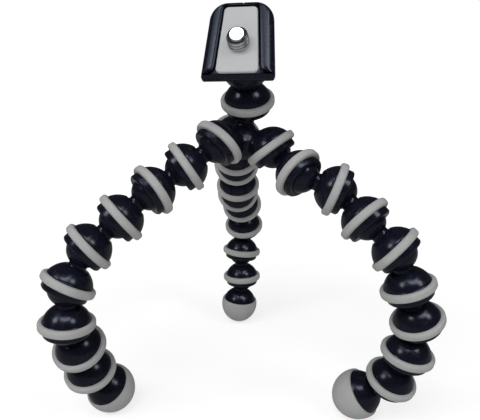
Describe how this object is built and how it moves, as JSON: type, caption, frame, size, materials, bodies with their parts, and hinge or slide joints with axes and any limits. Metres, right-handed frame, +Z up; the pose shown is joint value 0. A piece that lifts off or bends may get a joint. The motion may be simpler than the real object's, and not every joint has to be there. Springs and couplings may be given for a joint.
{
  "type": "flexible leg tripod",
  "caption": "Small camera tripod with three bendable legs of black ball-and-socket links with grey grip rings, a tilting head tray, a quick clip and a camera screw.",
  "frame": {"origin": "centre of the bounding box at floor level, with the feet on Z = 0", "axes": "+Z up from the floor, -Y the way the camera plate faces and the picture was taken from, +X to the right of the picture"},
  "size_m": [0.1287, 0.1121, 0.14],
  "materials": {
    "black_plastic": "moulded gloss",
    "grip_rubber": "soft matte",
    "pad_rubber": "soft matte",
    "bright_metal": "plated"
  },
  "bodies": {
    "hub": {"hub": "black_plastic"},
    "head": {"head_link": "black_plastic"},
    "tray": {"camera_tray": "black_plastic"},
    "clip": {"quick_clip": "black_plastic", "clip_pad": "pad_rubber", "camera_screw": "bright_metal"},
    "left_1": {"left_link_1": "black_plastic", "left_ring_1": "grip_rubber"},
    "left_2": {"left_link_2": "black_plastic", "left_ring_2": "grip_rubber"},
    "left_3": {"left_link_3": "black_plastic", "left_ring_3": "grip_rubber"},
    "left_4": {"left_link_4": "black_plastic", "left_ring_4": "grip_rubber"},
    "left_5": {"left_link_5": "black_plastic", "left_ring_5": "grip_rubber"},
    "left_6": {"left_link_6": "black_plastic", "left_ring_6": "grip_rubber"},
    "left_7": {"left_link_7": "black_plastic", "left_ring_7": "grip_rubber"},
    "left_8": {"left_link_8": "black_plastic", "left_ring_8": "grip_rubber"},
    "left_foot_link": {"left_foot": "black_plastic", "left_foot_cap": "grip_rubber"},
    "right_1": {"right_link_1": "black_plastic", "right_ring_1": "grip_rubber"},
    "right_2": {"right_link_2": "black_plastic", "right_ring_2": "grip_rubber"},
    "right_3": {"right_link_3": "black_plastic", "right_ring_3": "grip_rubber"},
    "right_4": {"right_link_4": "black_plastic", "right_ring_4": "grip_rubber"},
    "right_5": {"right_link_5": "black_plastic", "right_ring_5": "grip_rubber"},
    "right_6": {"right_link_6": "black_plastic", "right_ring_6": "grip_rubber"},
    "right_7": {"right_link_7": "black_plastic", "right_ring_7": "grip_rubber"},
    "right_8": {"right_link_8": "black_plastic", "right_ring_8": "grip_rubber"},
    "right_foot_link": {"right_foot": "black_plastic", "right_foot_cap": "grip_rubber"},
    "back_1": {"back_link_1": "black_plastic", "back_ring_1": "grip_rubber"},
    "back_2": {"back_link_2": "black_plastic", "back_ring_2": "grip_rubber"},
    "back_3": {"back_link_3": "black_plastic", "back_ring_3": "grip_rubber"},
    "back_4": {"back_link_4": "black_plastic", "back_ring_4": "grip_rubber"},
    "back_5": {"back_link_5": "black_plastic", "back_ring_5": "grip_rubber"},
    "back_6": {"back_link_6": "black_plastic", "back_ring_6": "grip_rubber"},
    "back_7": {"back_link_7": "black_plastic", "back_ring_7": "grip_rubber"},
    "back_8": {"back_link_8": "black_plastic", "back_ring_8": "grip_rubber"},
    "back_foot_link": {"back_foot": "black_plastic", "back_foot_cap": "grip_rubber"}
  },
  "joints": [
    {"name": "left_joint_1", "type": "hinge", "parent": "hub", "child": "left_1", "pos_m": [-0.00839, -0.02925, 0.0971], "axis": [-0.3605, -0.5817, 0.7292], "range_deg": [-14.7, 51.3]},
    {"name": "left_joint_2", "type": "hinge", "parent": "left_1", "child": "left_2", "pos_m": [-0.01922, -0.03155, 0.08991], "axis": [-0.5545, 0.0093, 0.8322], "range_deg": [-47.8, 18.2]},
    {"name": "left_joint_3", "type": "hinge", "parent": "left_2", "child": "left_3", "pos_m": [-0.02921, -0.03709, 0.08331], "axis": [0.6527, -0.5068, -0.5631], "range_deg": [-43.9, 22.1]},
    {"name": "left_joint_4", "type": "hinge", "parent": "left_3", "child": "left_4", "pos_m": [-0.03899, -0.04065, 0.07518], "axis": [-0.4149, 0.9066, 0.0771], "range_deg": [-32.1, 33.9]},
    {"name": "left_joint_5", "type": "hinge", "parent": "left_4", "child": "left_5", "pos_m": [-0.04857, -0.04432, 0.06688], "axis": [0.2535, -0.9583, 0.1318], "range_deg": [-54.2, 11.8]},
    {"name": "left_joint_6", "type": "hinge", "parent": "left_5", "child": "left_6", "pos_m": [-0.05444, -0.04745, 0.05547], "axis": [-0.5444, 0.8372, 0.0511], "range_deg": [-5.6, 60.4]},
    {"name": "left_joint_7", "type": "hinge", "parent": "left_6", "child": "left_7", "pos_m": [-0.05533, -0.04722, 0.04231], "axis": [0.941, -0.3313, -0.0694], "range_deg": [-65.2, 0.8]},
    {"name": "left_joint_8", "type": "hinge", "parent": "left_7", "child": "left_8", "pos_m": [-0.05376, -0.04041, 0.03111], "axis": [-0.9531, 0.2988, 0.0479], "range_deg": [-38, 28]},
    {"name": "left_foot_joint", "type": "hinge", "parent": "left_8", "child": "left_foot_link", "pos_m": [-0.05251, -0.03454, 0.01935], "axis": [0.4145, -0.8313, -0.3704], "range_deg": [-49.8, 16.2]},
    {"name": "right_joint_1", "type": "hinge", "parent": "hub", "child": "right_1", "pos_m": [0.01018, -0.02564, 0.09478], "axis": [0.6328, 0.7677, -0.1012], "range_deg": [-5.1, 51.2]},
    {"name": "right_joint_2", "type": "hinge", "parent": "right_1", "child": "right_2", "pos_m": [0.01846, -0.03335, 0.08798], "axis": [0.2225, -0.4992, 0.8374], "range_deg": [-62.5, 3.5]},
    {"name": "right_joint_3", "type": "hinge", "parent": "right_2", "child": "right_3", "pos_m": [0.03051, -0.03591, 0.08325], "axis": [-0.0778, 0.7802, -0.6207], "range_deg": [-61.9, 4.1]},
    {"name": "right_joint_4", "type": "hinge", "parent": "right_3", "child": "right_4", "pos_m": [0.03852, -0.04195, 0.07466], "axis": [-0.5849, 0.2976, -0.7545], "range_deg": [-23.9, 42.1]},
    {"name": "right_joint_5", "type": "hinge", "parent": "right_4", "child": "right_5", "pos_m": [0.04755, -0.04616, 0.066], "axis": [0.5437, 0.8225, 0.167], "range_deg": [-64.8, 1.2]},
    {"name": "right_joint_6", "type": "hinge", "parent": "right_5", "child": "right_6", "pos_m": [0.05184, -0.04646, 0.05352], "axis": [-0.9366, 0.1313, -0.3249], "range_deg": [-21, 45]},
    {"name": "right_joint_7", "type": "hinge", "parent": "right_6", "child": "right_7", "pos_m": [0.05639, -0.04404, 0.04137], "axis": [-0.0707, 0.983, 0.1694], "range_deg": [-62.6, 3.4]},
    {"name": "right_joint_8", "type": "hinge", "parent": "right_7", "child": "right_8", "pos_m": [0.05425, -0.04197, 0.02851], "axis": [-0.8562, -0.5131, 0.0599], "range_deg": [-19.8, 46.2]},
    {"name": "right_foot_joint", "type": "hinge", "parent": "right_8", "child": "right_foot_link", "pos_m": [0.05069, -0.03741, 0.01664], "axis": [0.241, 0.928, 0.2843], "range_deg": [-64.8, 1.2]},
    {"name": "back_joint_1", "type": "hinge", "parent": "hub", "child": "back_1", "pos_m": [-0.00203, -0.01128, 0.09765], "axis": [-0.1296, 0.5982, 0.7908], "range_deg": [-19.1, 46.9]},
    {"name": "back_joint_2", "type": "hinge", "parent": "back_1", "child": "back_2", "pos_m": [-0.00184, -0.00074, 0.08971], "axis": [0.9998, -0.0175, 0], "range_deg": [-47, 19]},
    {"name": "back_joint_3", "type": "hinge", "parent": "back_2", "child": "back_3", "pos_m": [-0.00163, 0.01141, 0.08455], "axis": [-0.997, -0.0147, -0.0757], "range_deg": [-63.5, 2.5]},
    {"name": "back_joint_4", "type": "hinge", "parent": "back_3", "child": "back_4", "pos_m": [-0.00094, 0.01926, 0.07397], "axis": [0.9947, 0.04, 0.0943], "range_deg": [-63.5, 2.5]},
    {"name": "back_joint_5", "type": "hinge", "parent": "back_4", "child": "back_5", "pos_m": [-0.00094, 0.03141, 0.06881], "axis": [-0.8511, -0.2051, -0.4833], "range_deg": [-52.5, 13.5]},
    {"name": "back_joint_6", "type": "hinge", "parent": "back_5", "child": "back_6", "pos_m": [0.00136, 0.04141, 0.0605], "axis": [0.9544, -0.2874, -0.0807], "range_deg": [-9.8, 56.2]},
    {"name": "back_joint_7", "type": "hinge", "parent": "back_6", "child": "back_7", "pos_m": [0.00223, 0.04754, 0.04884], "axis": [-0.9551, 0.2853, 0.0795], "range_deg": [-64.6, 1.4]},
    {"name": "back_joint_8", "type": "hinge", "parent": "back_7", "child": "back_8", "pos_m": [0.00097, 0.04698, 0.03572], "axis": [0.3482, -0.9374, 0.0066], "range_deg": [-39.9, 26.1]},
    {"name": "back_foot_joint", "type": "hinge", "parent": "back_8", "child": "back_foot_link", "pos_m": [0.0012, 0.04698, 0.02252], "axis": [-0.3001, -0.9539, -0.0047], "range_deg": [-26, 40]},
    {"name": "head_pan", "type": "hinge", "parent": "hub", "child": "head", "pos_m": [0.00182, -0.02314, 0.11001], "axis": [0.1389, -0.0795, 0.9871], "continuous": true},
    {"name": "tray_tilt", "type": "hinge", "parent": "head", "child": "tray", "pos_m": [0.00082, -0.02946, 0.12156], "axis": [0.9832, -0.1817, -0.0142], "range_deg": [-64, 2]},
    {"name": "clip_slide", "type": "slide", "parent": "tray", "child": "clip", "axis": [-0.0696, -0.4954, -0.8659], "range_m": [0, 0.013]}
  ]
}
